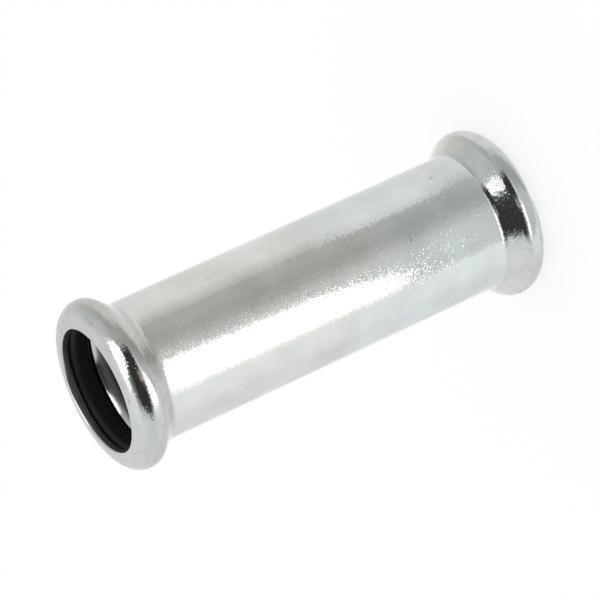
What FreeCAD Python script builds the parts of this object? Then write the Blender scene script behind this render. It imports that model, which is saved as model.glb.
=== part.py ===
import FreeCAD, Part
import math
import os

# Press slip coupling for 22 mm pipe: a straight steel sleeve with a rolled bead at each end
# and a rubber seal ring held in each bead. The bore runs straight through with no stop, so
# that the coupling can slide along a pipe before it is pressed.
# The sleeve stands on its end: Z is its axis, and its lower lip rests on Z = 0. All in mm.

# Pipe and sleeve
pipe_diameter = 22.0
pipe_clearance = 0.3        # radial room between the pipe and the bore
wall = 1.5                  # thickness of the sheet, the same in the body and in the beads
overall_length = 85.0

# Seal ring
seal_clearance = 0.1        # radial room between the pipe and the seal before pressing
seal_thickness = 3.0        # radial
seal_width = 3.9            # along the axis, at the middle of its thickness
seal_gap = 0.15             # room between the seal and the chamber that holds it
seal_shoulder = 1.3         # rounding of the two shoulders that face the pipe
seal_heel_rounding = 0.3    # rounding where the seal's back meets the sloping flank

# Bead, as rolled from the sleeve's own wall
lip_clearance = 0.4         # radial room between the pipe and the cut edge of the lip
lip_outer_rounding = 0.4
lip_inner_rounding = 0.2
face_slope = 8.5            # degrees that the end face leans back from square
shoulder_inner_radius = 1.7  # inside radius of the bead's front shoulder
crest_land = 0.05           # straight stretch on top of the bead
heel_inner_radius = 1.0     # inside radius where the bead turns down to its flank
flank_angle = 41.0          # degrees between the flank and the axis
neck_outer_radius = 1.8     # outside radius where the flank runs out into the body

# Sizes that follow
pipe_radius = pipe_diameter / 2
bore_radius = pipe_radius + pipe_clearance
body_radius = bore_radius + wall
mouth_radius = pipe_radius + lip_clearance
seal_inner_radius = pipe_radius + seal_clearance
seal_outer_radius = seal_inner_radius + seal_thickness
chamber_radius = seal_outer_radius + seal_gap
bead_radius = chamber_radius + wall

slope = math.radians(face_slope)
flank = math.radians(flank_angle)
right_angle = math.radians(90)


def setback(radius, turn):
    """Distance from a corner to where a rounding of this radius begins."""
    return radius * math.tan(turn / 2)


# Heights of the corners on the outside of the lower bead. The rounded lip touches Z = 0.
lip_height = lip_outer_rounding * (1 - math.tan(slope) - 1 / math.cos(slope))
shoulder_height = lip_height + (bead_radius - mouth_radius) * math.tan(slope)
crest_length = (
    setback(shoulder_inner_radius + wall, right_angle - slope)
    + crest_land
    + setback(heel_inner_radius + wall, flank)
)
heel_height = shoulder_height + crest_length
neck_height = heel_height + (bead_radius - body_radius) / math.tan(flank)


def face_height(radius, depth):
    """Height of the end face at a radius, or of a surface set in from it by a depth."""
    return lip_height + (radius - mouth_radius) * math.tan(slope) + depth / math.cos(slope)


def set_in(height, depth):
    """Height of a corner of the heel or neck on a surface set in from the outside."""
    return height - depth * math.tan(flank / 2)


def bead_corners(depth):
    """Corners of the lower bead, from lip to neck, as (radius, height, rounding).

    Depth 0 is the outside of the sheet, and a depth of the wall is its inside. Roundings
    that bulge get smaller with depth and the hollow one at the neck gets larger, which
    keeps the sheet equally thick all the way round.
    """
    top = bead_radius - depth
    return [
        (top, face_height(top, depth), shoulder_inner_radius + wall - depth),
        (top, set_in(heel_height, depth), heel_inner_radius + wall - depth),
        (body_radius - depth, set_in(neck_height, depth), neck_outer_radius + depth),
    ]


def end_to_end(corners):
    """These corners at both ends of the sleeve, from the lower end to the upper one."""
    upper = [(radius, overall_length - height, rounding) for radius, height, rounding in corners]
    return corners + upper[::-1]


def rounded_outline(corners):
    """Closed wire through the corners, each rounded by an arc that fits its two edges."""
    points = [FreeCAD.Vector(radius, 0, height) for radius, height, rounding in corners]
    count = len(points)
    turns = []
    for i in range(count):
        arriving = points[i] - points[i - 1]
        leaving = points[(i + 1) % count] - points[i]
        turns.append(arriving.getAngle(leaving))
    cuts = [setback(corner[2], turn) for corner, turn in zip(corners, turns)]
    room = [(points[(i + 1) % count] - points[i]).Length for i in range(count)]
    share = [min(1.0, room[i] / (cuts[i] + cuts[(i + 1) % count])) for i in range(count)]

    starts, middles, ends = [], [], []
    for i in range(count):
        cut = cuts[i] * min(share[i - 1], share[i])
        radius = cut / math.tan(turns[i] / 2)
        back = (points[i - 1] - points[i]).normalize()
        ahead = (points[(i + 1) % count] - points[i]).normalize()
        towards_centre = (back + ahead).normalize()
        starts.append(points[i] + back * cut)
        middles.append(points[i] + towards_centre * (radius / math.cos(turns[i] / 2) - radius))
        ends.append(points[i] + ahead * cut)

    edges = []
    for i in range(count):
        edges.append(Part.Arc(starts[i], middles[i], ends[i]).toShape())
        following = starts[(i + 1) % count]
        if (following - ends[i]).Length > 1e-6:
            edges.append(Part.LineSegment(ends[i], following).toShape())
    return Part.Wire(edges)


def turned(corners):
    """Solid of revolution about Z from an outline of rounded corners."""
    face = Part.Face(rounded_outline(corners))
    return face.revolve(FreeCAD.Vector(0, 0, 0), FreeCAD.Vector(0, 0, 1), 360)


def make_sleeve():
    """The one formed sleeve: body, both beads and both lips, with its wall all round."""
    outside = [(mouth_radius, face_height(mouth_radius, 0), lip_outer_rounding)] + bead_corners(0)
    inside = [(mouth_radius, face_height(mouth_radius, wall), lip_inner_rounding)] + bead_corners(wall)
    return turned(end_to_end(outside) + end_to_end(inside)[::-1])


def make_seal():
    """Seal ring of the lower bead. Its outer side follows the chamber, set in by the gap."""
    depth = wall + seal_gap
    shoulder, heel = bead_corners(depth)[:2]
    middle_radius = seal_inner_radius + seal_thickness / 2
    back_height = face_height(middle_radius, depth) + seal_width
    heel_radius = heel[0] - (back_height - heel[1]) * math.tan(flank)
    return turned([
        (seal_inner_radius, face_height(seal_inner_radius, depth), seal_shoulder),
        shoulder,
        heel,
        (heel_radius, back_height, seal_heel_rounding),
        (seal_inner_radius, back_height, seal_shoulder),
    ])


def flipped(shape):
    """The same piece turned end for end, at the sleeve's upper end."""
    other = shape.copy()
    middle = FreeCAD.Vector(0, 0, overall_length / 2)
    other.rotate(middle, FreeCAD.Vector(1, 0, 0), 180)
    return other


lower_seal = make_seal()
pieces = {
    "coupling_sleeve": make_sleeve(),
    "seal_ring_bottom": lower_seal,
    "seal_ring_top": flipped(lower_seal),
}

os.makedirs("parts", exist_ok=True)
for name, shape in pieces.items():
    shape.exportStep("parts/" + name + ".step")
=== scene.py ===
import math

import bpy
from mathutils import Matrix, Vector


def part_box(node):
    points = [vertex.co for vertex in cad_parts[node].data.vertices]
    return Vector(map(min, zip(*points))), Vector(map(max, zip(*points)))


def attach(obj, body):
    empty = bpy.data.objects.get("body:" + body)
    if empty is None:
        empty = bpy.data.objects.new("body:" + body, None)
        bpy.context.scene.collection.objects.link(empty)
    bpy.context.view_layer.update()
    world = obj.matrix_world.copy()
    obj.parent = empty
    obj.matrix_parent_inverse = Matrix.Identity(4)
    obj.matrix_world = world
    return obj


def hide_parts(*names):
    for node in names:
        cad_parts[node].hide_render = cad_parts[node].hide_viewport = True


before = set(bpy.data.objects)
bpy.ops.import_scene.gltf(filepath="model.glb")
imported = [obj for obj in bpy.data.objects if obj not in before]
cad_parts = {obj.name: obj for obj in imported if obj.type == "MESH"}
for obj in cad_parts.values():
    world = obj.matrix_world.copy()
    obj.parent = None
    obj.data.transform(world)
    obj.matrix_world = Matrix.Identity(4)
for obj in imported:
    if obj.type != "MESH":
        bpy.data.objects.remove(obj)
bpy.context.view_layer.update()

# Looks of a press slip coupling: bright zinc-plated sleeve, black rubber seal rings.
# Lengths are written in millimetres, and MM turns them into Blender's metres. Angles are
# written in degrees. The scale of a texture is per metre.
MM = 0.001

# Sizes read from the frame
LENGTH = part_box("coupling_sleeve")[1].z / MM

# Bead, as rolled from the sleeve's own sheet. Shoulder, heel and neck are outside radii.
WALL = 1.5
MOUTH_RADIUS = 11.4
LIP_OUTER_ROUNDING = 0.4
LIP_INNER_ROUNDING = 0.2
FACE_SLOPE = math.radians(8.5)
BEAD_RADIUS = 15.75
SHOULDER_RADIUS = 3.2
CREST_LAND = 0.05
HEEL_RADIUS = 2.5
FLANK = math.radians(41)
NECK_RADIUS = 1.8
BODY_RADIUS = 12.8

# Seal ring
SEAL_GAP = 0.15
SEAL_INNER_RADIUS = 11.1
SEAL_BACK = 5.68
SEAL_SHOULDER = 1.3
SEAL_HEEL_ROUNDING = 0.3

# Outlines. Points that are closer together than the second value count as one.
LEAST_ARC_STEPS = 3
SAME_POINT = 1e-4

# Zones of the zinc. A pair says where a zone starts to change and where it has changed. The
# first three pairs are distances from an end, as shares of BEAD_END. The last two are how far
# the surface faces outwards, from 0 for straight inwards to 1 for straight outwards.
BEAD_END = 8.0
BEAD_FADE = (0.85, 1.0)
SHINE_FADE = (0.95, 1.0)
FACE_FADE = (0.2, 0.42)
INSIDE_FACING = (0.42, 0.49)
BORE_FACING = (0.05, 0.09)

# Tints of the zinc, each from its darker clouds to its lighter ones
CLOUD_SCALE = 110.0
CLOUD_SPREAD = (0.35, 0.65)
WARM_TINT = ((0.798, 0.82, 0.775), (0.888, 0.91, 0.87))
COOL_TINT = ((0.785, 0.835, 0.815), (0.87, 0.93, 0.925))
COOL_SCALE = 28.0
COOL_SPREAD = (0.4, 0.6)
COOL_BELOW = 0.5
BEAD_WARMTH = 0.3
FACE_COOLNESS = 0.5
# Painted shade: the darker colour of the zinc inside the bore
BORE_SHADE_COLOUR = (0.56, 0.555, 0.54, 1)

# Factors that darken the lower and the upper bead
BEAD_SHINE = (0.91, 0.81)

# Stains and specks, as factors on the tint
STAIN_SCALE = 170.0
STAIN_SWIRL = 0.8
STAIN_SPREAD = (0.46, 0.54)
STAIN_ON_BODY = 0.975
STAIN_ON_BEAD = [(0.47, 1.0), (0.53, 0.93), (0.6, 1.0)]
SPECK_SCALE = 900.0
SPECK_SPREAD = (0.82, 0.86)
SPECK_DARKNESS = 0.75

# Roughness of the zinc. The beads' is added to the body's.
HAZE_SCALE = 420.0
HAZE_SPREAD = (0.3, 0.7)
BODY_ROUGHNESS = (0.04, 0.08)
BEAD_ROUGHNESS = 0.05
BORE_ROUGHNESS = 0.3

# Crystals of the plating. Their lean is scaled in steps of (share of the length, factor).
CRYSTAL_SCALE = 6200.0
CRYSTAL_LEAN = 0.7
CRYSTAL_SHARES = [
    (0.07, 0.36),
    (0.12, 0.55),
    (0.24, 0.6),
    (0.34, 0.42),
    (0.45, 0.36),
    (0.55, 0.42),
    (0.75, 0.32),
    (0.95, 0.43),
]

# Rubber
GRAIN_SCALE = 2500.0
GRAIN_SPREAD = (0.3, 0.7)
RUBBER_GREY = (0.008, 0.014)
RUBBER_BUMP = 0.3
RUBBER_BUMP_HEIGHT = 0.005
RUBBER_ROUGHNESS = 0.5
RUBBER_SPECULAR = 0.25

# Camera of the photograph
FOCAL_PIXELS = 3533.3
PHOTO_PIXELS = 600
SENSOR = 36.0
CLIP = (10.0, 20000.0)
CAMERA_AT = (-0.32, -566.35, 291.82)
CAMERA_PITCH = 23.69
CAMERA_ROLL = -114.65


def setback(radius, turn):
    """Distance from a corner to where a rounding of this radius begins."""
    return radius * math.tan(turn / 2)


def face_height(radius, depth=0.0):
    """Height of the end face at a radius, or of a surface set in from it by a depth."""
    lip = LIP_OUTER_ROUNDING * (1 - math.tan(FACE_SLOPE) - 1 / math.cos(FACE_SLOPE))
    return lip + (radius - MOUTH_RADIUS) * math.tan(FACE_SLOPE) + depth / math.cos(FACE_SLOPE)


def bead_corners(depth):
    """Corners of the lower bead, as (radius, height, rounding). Depth 0 is the sheet's outside."""
    top = BEAD_RADIUS - depth
    heel = (
        face_height(BEAD_RADIUS)
        + setback(SHOULDER_RADIUS, math.pi / 2 - FACE_SLOPE)
        + CREST_LAND
        + setback(HEEL_RADIUS, FLANK)
    )
    neck = heel + (BEAD_RADIUS - BODY_RADIUS) / math.tan(FLANK)
    back = depth * math.tan(FLANK / 2)
    return [
        (top, face_height(top, depth), SHOULDER_RADIUS - depth),
        (top, heel - back, HEEL_RADIUS - depth),
        (BODY_RADIUS - depth, neck - back, NECK_RADIUS + depth),
    ]


def end_to_end(corners):
    """These corners at both ends of the sleeve, from the lower end to the upper one."""
    upper = [(radius, LENGTH - height, rounding) for radius, height, rounding in corners]
    return corners + upper[::-1]


def stretch(start, end, step):
    """Points between two points, no further apart than a step."""
    parts = max(1, math.ceil((end - start).length / step))
    return [start.lerp(end, k / parts) for k in range(1, parts)]


def rounded_outline(corners, arc_step, line_step):
    """Closed outline as (radius, height) points, with an arc at each corner.

    Where two arcs don't fit on the edge between them, both are made smaller.
    """
    points = [Vector((radius, height)) for radius, height, rounding in corners]
    count = len(points)
    ahead = [(points[(i + 1) % count] - points[i]).normalized() for i in range(count)]
    turns = [ahead[i - 1].angle(ahead[i]) for i in range(count)]
    cuts = [setback(corner[2], turn) for corner, turn in zip(corners, turns)]
    room = [(points[(i + 1) % count] - points[i]).length for i in range(count)]
    share = [min(1.0, room[i] / (cuts[i] + cuts[(i + 1) % count])) for i in range(count)]

    outline = []
    for i in range(count):
        cut = cuts[i] * min(share[i - 1], share[i])
        radius = cut / math.tan(turns[i] / 2)
        towards_centre = (ahead[i] - ahead[i - 1]).normalized()
        centre = points[i] + towards_centre * (radius / math.cos(turns[i] / 2))
        start = points[i] - ahead[i - 1] * cut - centre
        sweep = -start.angle_signed(points[i] + ahead[i] * cut - centre)
        across = Vector((-start.y, start.x))
        steps = max(LEAST_ARC_STEPS, math.ceil(radius * abs(sweep) / arc_step))
        angles = [sweep * k / steps for k in range(steps + 1)]
        arc = [centre + start * math.cos(a) + across * math.sin(a) for a in angles]
        if outline:
            outline += stretch(outline[-1], arc[0], line_step)
        outline += arc
    outline += stretch(outline[-1], outline[0], line_step)
    before = outline[-1:] + outline
    return [p for p, last in zip(outline, before) if (p - last).length > SAME_POINT]


def in_scene(name, data):
    """A new object in the scene, with this mesh or camera."""
    thing = bpy.data.objects.new(name, data)
    bpy.context.scene.collection.objects.link(thing)
    return thing


def turned_mesh(name, outline, segments):
    """Smooth closed mesh: the outline turned about the Z axis."""
    verts, faces = [], []
    count = len(outline)
    for s in range(segments):
        angle = 2 * math.pi * s / segments
        verts += [(p.x * math.cos(angle) * MM, p.x * math.sin(angle) * MM, p.y * MM) for p in outline]
    for s in range(segments):
        here, there = s * count, (s + 1) % segments * count
        for i in range(count):
            j = (i + 1) % count
            faces.append((here + i, there + i, there + j, here + j))
    mesh = bpy.data.meshes.new(name)
    mesh.from_pydata(verts, [], faces)
    mesh.shade_smooth()
    return in_scene(name, mesh)


def make_sleeve():
    """The one formed sleeve: body, both beads and both lips, with its wall all round."""
    outer_lip = (MOUTH_RADIUS, face_height(MOUTH_RADIUS), LIP_OUTER_ROUNDING)
    inner_lip = (MOUTH_RADIUS, face_height(MOUTH_RADIUS, WALL), LIP_INNER_ROUNDING)
    outside = end_to_end([outer_lip] + bead_corners(0.0))
    inside = end_to_end([inner_lip] + bead_corners(WALL))
    outline = rounded_outline(outside + inside[::-1], arc_step=0.12, line_step=1.2)
    return turned_mesh("zinc_sleeve", outline, segments=256)


def make_seal(name, at_top):
    """Seal ring, whose back follows the bead's chamber, set in by the gap."""
    depth = WALL + SEAL_GAP
    shoulder, heel = bead_corners(depth)[:2]
    heel_radius = heel[0] - (SEAL_BACK - heel[1]) * math.tan(FLANK)
    outline = rounded_outline(
        [
            (SEAL_INNER_RADIUS, face_height(SEAL_INNER_RADIUS, depth), SEAL_SHOULDER),
            shoulder,
            heel,
            (heel_radius, SEAL_BACK, SEAL_HEEL_ROUNDING),
            (SEAL_INNER_RADIUS, SEAL_BACK, SEAL_SHOULDER),
        ],
        arc_step=0.15,
        line_step=0.4,
    )
    if at_top:
        outline = [Vector((p.x, LENGTH - p.y)) for p in outline][::-1]
    return turned_mesh(name, outline, segments=192)


def grey(level):
    """Colour of one level in all its channels."""
    return (level, level, level, 1)


class Nodes:
    """Short way to add and link shader nodes."""

    def __init__(self, tree):
        self.tree = tree
        tree.nodes.clear()

    def add(self, kind, settings=None, **inputs):
        node = self.tree.nodes.new(kind)
        for key, value in (settings or {}).items():
            setattr(node, key, value)
        for key, value in inputs.items():
            self.feed(node, key, value)
        return node

    def feed(self, node, key, value):
        """Link or set an input. Its key is _ and its number, or its name with _ for spaces."""
        socket = node.inputs[int(key[1:])] if key[0] == "_" else node.inputs[key.replace("_", " ")]
        if isinstance(value, bpy.types.NodeSocket):
            self.tree.links.new(value, socket)
        else:
            socket.default_value = value

    def math(self, operation, *values):
        inputs = {f"_{i}": value for i, value in enumerate(values)}
        return self.add("ShaderNodeMath", {"operation": operation}, **inputs).outputs[0]

    def vector(self, operation, *values):
        inputs = {f"_{i}": value for i, value in enumerate(values)}
        return self.add("ShaderNodeVectorMath", {"operation": operation}, **inputs).outputs["Vector"]

    def dot(self, first, second):
        node = self.add("ShaderNodeVectorMath", {"operation": "DOT_PRODUCT"}, _0=first, _1=second)
        return node.outputs["Value"]

    def noise(self, place, scale, detail, **more):
        inputs = {"Vector": place, "Scale": scale, "Detail": detail, **more}
        return self.add("ShaderNodeTexNoise", **inputs).outputs["Fac"]

    def mix(self, blend, factor, first, second):
        node = self.add("ShaderNodeMix", {"data_type": "RGBA", "blend_type": blend})
        self.feed(node, "_0", factor)
        self.feed(node, "_6", first)
        self.feed(node, "_7", second)
        return node.outputs[2]

    def ramp(self, factor, stops):
        """Colour ramp from (position, grey or colour) stops."""
        node = self.add("ShaderNodeValToRGB", _0=factor)
        elements = node.color_ramp.elements
        while len(elements) < len(stops):
            elements.new(0.5)
        for element, (position, colour) in zip(elements, stops):
            element.position = position
        for element, (position, colour) in zip(elements, stops):
            rgb = colour if isinstance(colour, tuple) else (colour,) * 3
            element.color = (*rgb, 1.0)
        return node.outputs["Color"]

    def fade(self, factor, limits, first, last):
        """Colour ramp from the first grey or colour, at one limit, to the last, at the other."""
        return self.ramp(factor, [(limits[0], first), (limits[1], last)])


def new_material(name):
    """An empty material and its nodes."""
    material = bpy.data.materials.new(name)
    material.use_nodes = True
    return material, Nodes(material.node_tree)


def zinc_material():
    """Bright zinc plating: nearly a mirror, with cloudy tints and a fine grain of crystals.

    The rolled beads are duller than the body, and what faces the pipe is rough, with painted shade.
    """
    material, n = new_material("bright_zinc")
    place = n.add("ShaderNodeTexCoord").outputs["Object"]
    height = n.add("ShaderNodeSeparateXYZ", Vector=place).outputs["Z"]
    from_bottom = n.math("DIVIDE", height, BEAD_END * MM)
    from_top = n.math("DIVIDE", n.math("SUBTRACT", LENGTH * MM, height), BEAD_END * MM)
    from_end = n.math("MINIMUM", from_bottom, from_top)
    on_bead = n.fade(from_end, BEAD_FADE, 1.0, 0.0)
    facing = n.add("ShaderNodeNewGeometry").outputs["Normal"]
    outward = n.vector("NORMALIZE", n.vector("MULTIPLY", place, (1, 1, 0)))
    facing_out = n.math("MULTIPLY_ADD", n.dot(facing, outward), 0.5, 0.5)
    outside = n.fade(facing_out, INSIDE_FACING, 0.0, 1.0)
    bore = n.fade(facing_out, BORE_FACING, 1.0, 0.0)

    tint = zinc_tint(n, place, height, from_end, on_bead)
    lower = n.fade(from_bottom, SHINE_FADE, BEAD_SHINE[0], 1.0)
    upper = n.fade(from_top, SHINE_FADE, BEAD_SHINE[1], 1.0)
    colour = n.mix("MULTIPLY", 1.0, n.mix("MULTIPLY", 1.0, tint, lower), upper)
    # Painted shade: what faces the pipe takes the darker bore colour
    colour = n.mix("MIX", bore, colour, BORE_SHADE_COLOUR)
    roughness = n.fade(n.noise(place, HAZE_SCALE, 2.0), HAZE_SPREAD, *BODY_ROUGHNESS)
    roughness = n.mix("ADD", on_bead, roughness, grey(BEAD_ROUGHNESS))
    roughness = n.mix("MIX", bore, roughness, grey(BORE_ROUGHNESS))
    normal = crystal_normal(n, place, height, facing, outside)
    shader = n.add(
        "ShaderNodeBsdfPrincipled",
        Base_Color=colour,
        Metallic=1.0,
        Roughness=roughness,
        Normal=normal,
    )
    n.add("ShaderNodeOutputMaterial", Surface=shader.outputs[0])
    return material


def zinc_tint(n, place, height, from_end, on_bead):
    """Clouds of warm and cool tint, with faint stains and a few dark specks.

    It is cooler towards the lower end and on the end faces, and warmer on the beads.
    """
    cloud = n.noise(place, CLOUD_SCALE, 3.0)
    warm = n.fade(cloud, CLOUD_SPREAD, *WARM_TINT)
    cool = n.fade(cloud, CLOUD_SPREAD, *COOL_TINT)
    coolness = n.noise(place, COOL_SCALE, 3.0)
    lower_down = n.math("MULTIPLY_ADD", height, -COOL_BELOW / (LENGTH * MM), COOL_BELOW / 2)
    coolness = n.math("ADD", coolness, lower_down)
    coolness = n.math("MULTIPLY_ADD", on_bead, -BEAD_WARMTH, coolness)
    on_face = n.fade(from_end, FACE_FADE, 1.0, 0.0)
    coolness = n.math("MULTIPLY_ADD", on_face, FACE_COOLNESS, coolness)
    tint = n.mix("MIX", n.fade(coolness, COOL_SPREAD, 0.0, 1.0), warm, cool)

    stain = n.noise(place, STAIN_SCALE, 4.0, Distortion=STAIN_SWIRL)
    body_stain = n.fade(stain, STAIN_SPREAD, 1.0, STAIN_ON_BODY)
    bead_stain = n.ramp(stain, STAIN_ON_BEAD)
    tint = n.mix("MULTIPLY", 1.0, tint, n.mix("MIX", on_bead, body_stain, bead_stain))
    speck = n.noise(place, SPECK_SCALE, 0.0)
    return n.mix("MULTIPLY", 1.0, tint, n.fade(speck, SPECK_SPREAD, 1.0, SPECK_DARKNESS))


def crystal_normal(n, place, height, facing, outside):
    """Normal that leans a little its own way on each crystal, and much more on a few.

    What faces inwards keeps its plain normal.
    """
    crystal = n.add("ShaderNodeTexVoronoi", Vector=place, Scale=CRYSTAL_SCALE).outputs["Color"]
    lean = n.vector("SUBTRACT", crystal, (0.5, 0.5, 0.5))
    strength = n.math("MULTIPLY", n.dot(lean, lean), CRYSTAL_LEAN)
    share_up = n.math("DIVIDE", height, LENGTH * MM)
    strength = n.vector("MULTIPLY", strength, n.ramp(share_up, CRYSTAL_SHARES))
    strength = n.vector("MULTIPLY", strength, outside)
    lean = n.vector("MULTIPLY", lean, strength)
    return n.vector("NORMALIZE", n.vector("ADD", facing, lean))


def rubber_material():
    """Smooth moulded black rubber."""
    material, n = new_material("seal_rubber")
    place = n.add("ShaderNodeTexCoord").outputs["Object"]
    grain = n.noise(place, GRAIN_SCALE, 2.0)
    colour = n.fade(grain, GRAIN_SPREAD, *RUBBER_GREY)
    bump = n.add(
        "ShaderNodeBump", Strength=RUBBER_BUMP, Distance=RUBBER_BUMP_HEIGHT * MM, Height=grain
    )
    shader = n.add(
        "ShaderNodeBsdfPrincipled",
        Base_Color=colour,
        Roughness=RUBBER_ROUGHNESS,
        Specular_IOR_Level=RUBBER_SPECULAR,
        Normal=bump.outputs["Normal"],
    )
    n.add("ShaderNodeOutputMaterial", Surface=shader.outputs[0])
    return material


# Studio, as the metal sees it. Azimuth 0 is towards the camera and grows towards +X. Light and
# levels are steps of (azimuth, level), where a level of 1 is the white of the background. A
# cover is steps of (height, share), where a share of 0 is clear.

# Light of the world below the horizon, above it and high up. Each pair is the elevations
# between which the next one takes over. The side tint is steps of (azimuth, colour).
LOW_LIGHT = [
    (-180, 1.10),
    (-166, 0.92),
    (-150, 0.76),
    (-110, 0.78),
    (-84, 0.87),
    (-72, 0.88),
    (-56, 0.89),
    (-52, 0.68),
    (-42, 0.62),
    (-34, 0.66),
    (-20, 0.66),
    (2, 0.60),
    (18, 0.44),
    (32, 0.395),
    (52, 0.445),
    (60, 0.455),
    (62, 0.385),
    (65, 0.52),
    (88, 0.74),
    (120, 0.76),
    (150, 0.78),
    (162, 0.88),
    (180, 1.10),
]
MIDDLE_FROM = (-10.0, -3.0)
MIDDLE_LIGHT = [
    (-180, 0.83),
    (-150, 0.84),
    (-110, 0.80),
    (-66, 0.78),
    (-60, 0.60),
    (-46, 0.035),
    (31, 0.035),
    (34, 0.10),
    (42, 0.45),
    (52, 0.50),
    (70, 0.44),
    (90, 0.51),
    (120, 0.60),
    (150, 0.80),
    (180, 0.83),
]
HIGH_FROM = (46.0, 60.0)
HIGH_LIGHT = [
    (-180, 0.98),
    (-130, 0.87),
    (-105, 0.92),
    (-90, 0.83),
    (-70, 0.50),
    (-50, 0.24),
    (-10, 0.18),
    (20, 0.24),
    (60, 0.97),
    (80, 0.90),
    (110, 0.76),
    (150, 0.81),
    (180, 0.96),
]
ZENITH_FROM = (70.0, 84.0)
ZENITH_LIGHT = 1.15
SIDE_TINT = [
    (-180, (1.0, 0.985, 0.995)),
    (-130, (0.985, 0.985, 1.0)),
    (-105, (0.982, 0.99, 1.0)),
    (-15, (0.982, 0.99, 1.0)),
    (15, (1.0, 1.0, 0.985)),
    (100, (1.0, 1.0, 0.985)),
    (130, (1.0, 0.985, 0.99)),
    (180, (1.0, 0.985, 0.995)),
]

# Floor
FLOOR_HALF = 4000.0
FLOOR_GLOW = 0.8

# Two level sheets, in front and at the right. Corners are (x, distance towards the camera).
# Most of the inner edge was measured off the edge of the highlight in the photograph, and the
# side sheet's outer corners were worked out from angles and a distance.
SHEET_HEIGHT = 0.5
SHEET_INNER_EDGE = [
    (-2, 203),
    (-8, 187),
    (-17, 171),
    (-22, 155),
    (-19, 140),
    (-23, 125),
    (-16, 112),
    (-26, 100),
    (-31, 80),
    (-37, 60),
    (-62, 38),
]
SHEET_LEVELS = [(-58, 0.85), (-51, 1.05), (-46, 1.6), (-6, 1.6), (2, 1.15)]
SIDE_SHEET_CORNERS = [
    (30, 23.8),
    (77, 49.3),
    (87, 23.7),
    (88.6, -5.7),
    (80.4, -33.6),
    (36, -8),
    (38, 6),
]
SIDE_SHEET_LEVELS = [
    (53, 0.62),
    (57, 0.67),
    (61, 0.70),
    (66, 0.73),
    (72, 0.77),
    (86, 0.785),
    (109, 0.76),
]

# Three soft walls, bent round the axis
WALL_RADIUS = 300.0
WALL_LEVELS = [(-58, 0.85), (-51, 1.05), (-46, 1.6), (-9, 1.6), (-4, 0.95), (-1, 0.8), (2, 0.8)]
WALL_COVER = [
    (-85, 0.0),
    (-55, 0.75),
    (-35, 1.0),
    (5, 0.93),
    (23, 0.65),
    (39, 0.35),
    (54, 0.15),
    (75, 0.06),
    (110, 0.0),
]
SIDE_RADIUS = 600.0
SIDE_LEVELS = [
    (2, 1.0),
    (6, 0.96),
    (11, 0.9),
    (15, 0.8),
    (20, 0.63),
    (25, 0.55),
    (30, 0.45),
    (36, 0.43),
]
SIDE_COVER = [
    (-180, 0.0),
    (-130, 0.35),
    (-80, 1.0),
    (-48, 1.0),
    (-18, 0.55),
    (6, 0.17),
    (45, 0.04),
    (90, 0.0),
]
UPPER_SIDE_RADIUS = 300.0
UPPER_SIDE_LEVELS = [(50, 0.49), (62, 0.6), (75, 0.66), (96, 0.76), (108, 0.71), (122, 0.6)]
UPPER_SIDE_COVER = [(150, 0.0), (230, 0.55), (350, 0.55), (430, 0.45), (500, 0.0)]

# Dark flag and warm glint, bent round the axis. Tops are (azimuth, height).
FLAG_RADIUS = 208.0
FLAG_FOOT = 100.0
FLAG_TOPS = [(-54, 360), (-20, 358), (8, 345), (13, 335)]
FLAG_LEVEL = 0.035
GLINT_RADIUS = 190.0
GLINT_TOPS = [(-12, 140), (1, 140)]
GLINT_COLOUR = (0.45, 0.435, 0.36)
GLINT_COVER = [(48, 0.0), (62, 0.9), (92, 0.9), (118, 0.4), (140, 0.0)]

# Overhead card. Its corners are (x, distance towards the camera).
OVERHEAD_HEIGHT = 220.0
OVERHEAD_LEVEL = 1.7
OVERHEAD_CORNERS = [
    (-18, 0),
    (-7, 33),
    (-4, 49),
    (0, 63),
    (8.5, 81),
    (29, 101),
    (40, 124),
    (60, 149),
    (85, 173),
    (139, 154),
    (141, 110),
    (132, 82),
    (115, 51),
    (87, 28),
    (72, 6),
    (20, -24),
    (-14, -27),
]


def azimuth_turn(n, place):
    """Azimuth of a vector as a fraction of a turn, which is 0.5 towards the camera."""
    axes = n.add("ShaderNodeSeparateXYZ", Vector=place).outputs
    azimuth = n.math("ARCTAN2", axes["X"], n.math("MULTIPLY", axes["Y"], -1.0))
    return n.math("MULTIPLY_ADD", azimuth, 0.5 / math.pi, 0.5)


def round_the_axis(n, turn, steps):
    """Level or colour at a fraction of a turn, from (azimuth, level or colour) steps."""
    return n.ramp(turn, [((degrees + 180) / 360, level) for degrees, level in steps])


def make_world():
    """White world, in which the metal sees zones of light and dark instead."""
    world = bpy.data.worlds.new("studio")
    bpy.context.scene.world = world
    world.use_nodes = True
    n = Nodes(world.node_tree)
    direction = n.add("ShaderNodeTexCoord").outputs["Generated"]
    turn = azimuth_turn(n, direction)
    up = n.add("ShaderNodeSeparateXYZ", Vector=direction).outputs["Z"]
    elevation = n.math("MULTIPLY", n.math("ARCSINE", up), 1 / math.radians(90))

    def above(limits):
        """How far a direction has come from the first of two elevations to the other."""
        share = n.math("MULTIPLY_ADD", elevation, 0.5, 0.5)
        return n.fade(share, [0.5 + degrees / 180 for degrees in limits], 0.0, 1.0)

    higher = above(MIDDLE_FROM)
    low = round_the_axis(n, turn, LOW_LIGHT)
    light = n.mix("MIX", higher, low, round_the_axis(n, turn, MIDDLE_LIGHT))
    light = n.mix("MIX", above(HIGH_FROM), light, round_the_axis(n, turn, HIGH_LIGHT))
    light = n.mix("MULTIPLY", 1.0, light, round_the_axis(n, turn, SIDE_TINT))
    light = n.mix("MIX", above(ZENITH_FROM), light, grey(ZENITH_LIGHT))
    glossy = n.add("ShaderNodeLightPath").outputs["Is Glossy Ray"]
    seen = n.mix("MIX", glossy, grey(1), light)
    background = n.add("ShaderNodeBackground", Color=seen, Strength=1.0)
    n.add("ShaderNodeOutputWorld", Surface=background.outputs[0])


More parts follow.
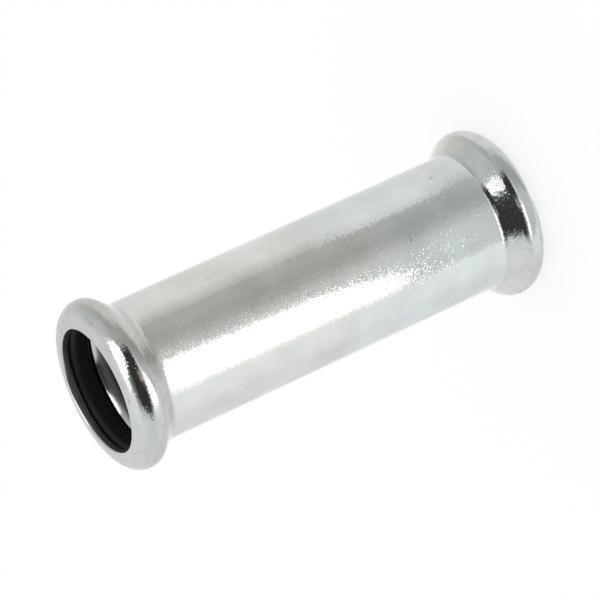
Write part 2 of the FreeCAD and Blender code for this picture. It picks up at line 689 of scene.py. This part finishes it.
def glow_material(name, levels, cover=None, one_sided=False):
    """Light of one level, of one colour, or of (azimuth, level) steps.

    A cover thins it out in (height, share) steps.
    """
    material, n = new_material(name)
    place = n.add("ShaderNodeTexCoord").outputs["Object"]
    if isinstance(levels, float):
        colour = grey(levels)
    elif isinstance(levels, tuple):
        colour = (*levels, 1)
    else:
        strongest = max(level for azimuth, level in levels)
        shares = [(azimuth, level / strongest) for azimuth, level in levels]
        shade = round_the_axis(n, azimuth_turn(n, place), shares)
        colour = n.mix("MULTIPLY", 1.0, shade, grey(strongest))
    glow = n.add("ShaderNodeEmission", Color=colour, Strength=1.0).outputs[0]
    clear = n.add("ShaderNodeBsdfTransparent").outputs[0]
    if cover:
        low, high = cover[0][0], cover[-1][0]
        height = n.add("ShaderNodeSeparateXYZ", Vector=place).outputs["Z"]
        share = n.math("MULTIPLY_ADD", height, 1 / (high - low) / MM, -low / (high - low))
        solid = n.ramp(share, [((z - low) / (high - low), value) for z, value in cover])
        glow = n.add("ShaderNodeMixShader", _0=solid, _1=clear, _2=glow).outputs[0]
    if one_sided:
        behind = n.add("ShaderNodeNewGeometry").outputs["Backfacing"]
        glow = n.add("ShaderNodeMixShader", _0=behind, _1=glow, _2=clear).outputs[0]
    n.add("ShaderNodeOutputMaterial", Surface=glow)
    return material


def reflected_only(name, verts, faces, material):
    """A studio card that only the metal sees: it lights and shades nothing."""
    mesh = bpy.data.meshes.new(name)
    mesh.from_pydata(verts, [], faces)
    mesh.materials.append(material)
    card = in_scene(name, mesh)
    for ray in ("camera", "diffuse", "shadow", "volume_scatter"):
        setattr(card, "visible_" + ray, False)


def place_round(azimuth, radius, height):
    """Place at an azimuth and radius round the axis."""
    angle = math.radians(azimuth)
    return Vector((math.sin(angle) * radius, -math.cos(angle) * radius, height)) * MM


def filled(outline, step=4.0):
    """The same (azimuth, value) outline with more azimuths, so that a card bends smoothly."""
    full = []
    for first, second in zip(outline, outline[1:]):
        parts = math.ceil((second[0] - first[0]) / step)
        for k in range(parts):
            full.append(tuple(a + (b - a) * k / parts for a, b in zip(first, second)))
    return full + [outline[-1]]


def upright_card(name, radius, foot, tops, material):
    """Card bent round the sleeve's axis, from a foot height up to (azimuth, height) tops."""
    verts, faces = [], []
    for azimuth, top in filled(tops):
        verts += [place_round(azimuth, radius, foot), place_round(azimuth, radius, top)]
    for k in range(len(verts) // 2 - 1):
        faces.append((2 * k, 2 * k + 2, 2 * k + 3, 2 * k + 1))
    reflected_only(name, verts, faces, material)


def soft_wall(name, radius, levels, cover):
    """Upright glow whose foot and top fade out."""
    tops = [(levels[0][0], cover[-1][0]), (levels[-1][0], cover[-1][0])]
    upright_card(name, radius, cover[0][0], tops, glow_material(name, levels, cover))


def level_corners(corners, height):
    """Places at one height from (x, distance towards the camera) corners."""
    return [Vector((x, -towards, height)) * MM for x, towards in corners]


def level_card(name, verts, material):
    """Level card. It faces up where its corners, seen from above, run against the clock."""
    reflected_only(name, verts, [tuple(range(len(verts)))], material)


def bounce_sheet():
    """Level white sheet in front of the coupling, which shines upwards only."""
    outer_edge = filled([(SHEET_LEVELS[0][0], WALL_RADIUS), (SHEET_LEVELS[-1][0], WALL_RADIUS)])
    verts = level_corners(SHEET_INNER_EDGE, SHEET_HEIGHT)
    verts += [place_round(azimuth, radius, SHEET_HEIGHT) for azimuth, radius in outer_edge]
    level_card("bounce_sheet", verts, glow_material("bounce_sheet", SHEET_LEVELS, one_sided=True))


def side_sheet():
    """Level sheet at the coupling's right, which gives the lower body its crisp light edge."""
    verts = level_corners(SIDE_SHEET_CORNERS, SHEET_HEIGHT)
    level_card("side_sheet", verts, glow_material("side_sheet", SIDE_SHEET_LEVELS))


def dark_flag():
    """Dark card in front of the coupling, which the beads reflect."""
    material = glow_material("dark_flag", FLAG_LEVEL)
    upright_card("dark_flag", FLAG_RADIUS, FLAG_FOOT, FLAG_TOPS, material)


def warm_glint():
    """Small warm card, which shows as a cream streak in the far bead's dark reflection."""
    material = glow_material("warm_glint", GLINT_COLOUR, GLINT_COVER)
    upright_card("warm_glint", GLINT_RADIUS, GLINT_COVER[0][0], GLINT_TOPS, material)


def overhead_card():
    """Level card above the coupling, which shines downwards only."""
    verts = level_corners(OVERHEAD_CORNERS[::-1], OVERHEAD_HEIGHT)
    material = glow_material("overhead_card", OVERHEAD_LEVEL, one_sided=True)
    level_card("overhead_card", verts, material)


def make_floor():
    """White floor that keeps the coupling's shadow and isn't reflected."""
    half = FLOOR_HALF * MM
    corners = [(-half, -half, 0), (half, -half, 0), (half, half, 0), (-half, half, 0)]
    mesh = bpy.data.meshes.new("floor")
    mesh.from_pydata(corners, [], [(0, 1, 2, 3)])
    floor = in_scene("floor", mesh)
    material, n = new_material("floor_white")
    lit = n.add("ShaderNodeBsdfDiffuse", Color=grey(1)).outputs[0]
    glow = n.add("ShaderNodeEmission", Color=grey(1), Strength=1.0).outputs[0]
    mixed = n.add("ShaderNodeMixShader", _0=FLOOR_GLOW, _1=lit, _2=glow).outputs[0]
    n.add("ShaderNodeOutputMaterial", Surface=mixed)
    mesh.materials.append(material)
    floor.visible_glossy = False


def make_camera():
    """The photograph's camera. It looks down by the pitch and is rolled about its view."""
    data = bpy.data.cameras.new("photo_camera")
    data.sensor_width = SENSOR
    data.lens = FOCAL_PIXELS * SENSOR / PHOTO_PIXELS
    data.clip_start = CLIP[0] * MM
    data.clip_end = CLIP[1] * MM
    camera = in_scene("photo_camera", data)
    level_and_pitch = Matrix.Rotation(math.radians(90 - CAMERA_PITCH), 4, "X")
    roll = Matrix.Rotation(math.radians(CAMERA_ROLL), 4, "Z")
    camera.matrix_world = Matrix.Translation(Vector(CAMERA_AT) * MM) @ level_and_pitch @ roll
    bpy.context.scene.camera = camera


bpy.context.scene.view_settings.view_transform = "Standard"
make_camera()
make_world()
make_floor()
bounce_sheet()
side_sheet()
soft_wall("bounce_wall", WALL_RADIUS, WALL_LEVELS, WALL_COVER)
soft_wall("side_glow", SIDE_RADIUS, SIDE_LEVELS, SIDE_COVER)
soft_wall("upper_side_glow", UPPER_SIDE_RADIUS, UPPER_SIDE_LEVELS, UPPER_SIDE_COVER)
dark_flag()
warm_glint()
overhead_card()

zinc = zinc_material()
rubber = rubber_material()

sleeve = make_sleeve()
sleeve.data.materials.append(zinc)
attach(sleeve, "root")
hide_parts("coupling_sleeve")

for end, at_top in (("bottom", False), ("top", True)):
    seal = make_seal("rubber_ring_" + end, at_top)
    seal.data.materials.append(rubber)
    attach(seal, "root")
    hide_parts("seal_ring_" + end)
